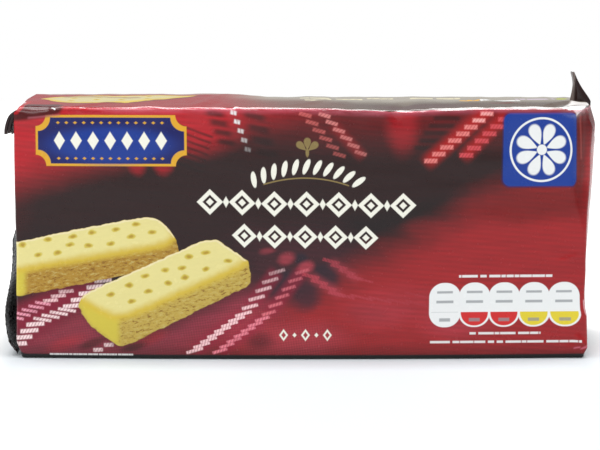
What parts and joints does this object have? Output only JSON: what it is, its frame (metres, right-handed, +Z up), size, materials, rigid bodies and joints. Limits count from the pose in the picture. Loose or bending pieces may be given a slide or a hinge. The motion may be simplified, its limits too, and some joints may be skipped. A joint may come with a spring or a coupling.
{
  "type": "film-wrapped biscuit pack",
  "caption": "Shut oblong pack of shortbread fingers in glossy printed film, standing on its long edge, with folded end seals and loose ears of film at its top corners.",
  "frame": {"origin": "centre of the footprint of the pack's bounding box, on the surface it stands on", "axes": "+X along the pack, to the right of someone facing the printed front; +Y from the printed front to the back; +Z up"},
  "size_m": [0.1744, 0.0406, 0.0827],
  "materials": {
    "printed_film": "glossy printed plastic film, dark red and near black"
  },
  "bodies": {
    "root": {"film_pack": "printed_film"}
  },
  "joints": []
}
